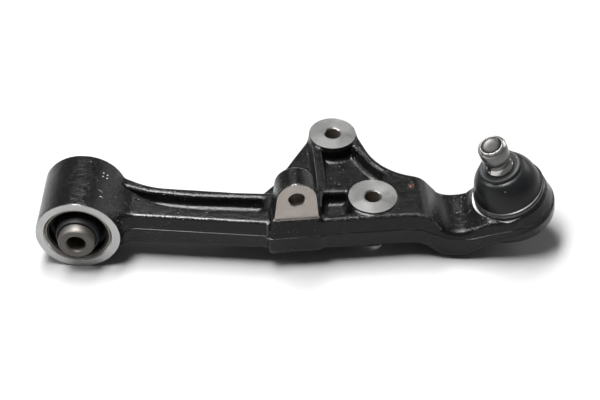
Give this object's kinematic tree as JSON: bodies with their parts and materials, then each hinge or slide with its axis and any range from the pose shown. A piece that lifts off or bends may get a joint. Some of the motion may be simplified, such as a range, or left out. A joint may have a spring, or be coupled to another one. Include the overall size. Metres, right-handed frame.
{
  "type": "automotive control arm",
  "caption": "Cast lower control arm with a rubber pivot bushing, two rod bosses, a link boss and a booted ball joint.",
  "frame": {"origin": "centre of the inner sleeve's bolt bore, at the middle of the pivot eye", "axes": "+X from the pivot eye out to the ball joint, +Y along the pivot bore towards the rear rod boss, +Z out of the rod bosses' machined faces, the side that the stud stands on"},
  "size_m": [0.3985, 0.1397, 0.1039],
  "materials": {
    "black_paint": "glossy black electrocoat on a sand-cast surface, with bare machined faces",
    "sleeve_steel": "plain pressed steel",
    "collar_steel": "grey-brown phosphated steel",
    "stud_steel": "turned steel, polished at the shoulder",
    "bushing_rubber": "matt black moulded rubber",
    "boot_rubber": "satin black moulded rubber",
    "bearing_plastic": "natural acetal",
    "wire_steel": "dark spring wire"
  },
  "bodies": {
    "arm": {"arm_casting": "black_paint", "bushing_outer_sleeve": "sleeve_steel", "bushing_rubber": "bushing_rubber", "ball_seat": "bearing_plastic", "preload_ring": "sleeve_steel", "cover_plate": "sleeve_steel", "boot_base_ring": "wire_steel"},
    "pivot_sleeve": {"bushing_inner_sleeve": "collar_steel"},
    "boot": {"dust_boot": "boot_rubber"},
    "boot_top": {"boot_collar": "boot_rubber"},
    "stud": {"ball_stud": "stud_steel"}
  },
  "joints": [
    {"name": "bushing_twist", "type": "hinge", "parent": "arm", "child": "pivot_sleeve", "pos_m": [0, 0, 0], "axis": [0, 1, 0], "range_deg": [-30, 30], "stiffness_Nm_per_rad": 45},
    {"name": "stud_rock_along", "type": "hinge", "parent": "arm", "child": "boot", "pos_m": [0.3331, 0.0213, 0.0059], "axis": [-0.0457, 0.9914, 0.1223], "range_deg": [-20, 20], "deforming": ["dust_boot"]},
    {"name": "stud_rock_across", "type": "hinge", "parent": "boot", "child": "boot_top", "pos_m": [0.3331, 0.0213, 0.0059], "axis": [0.9367, 0, 0.3502], "range_deg": [-20, 20], "deforming": ["dust_boot"]},
    {"name": "stud_spin", "type": "hinge", "parent": "boot_top", "child": "stud", "pos_m": [0.3331, 0.0213, 0.0059], "axis": [-0.3472, -0.1305, 0.9287], "continuous": true}
  ]
}
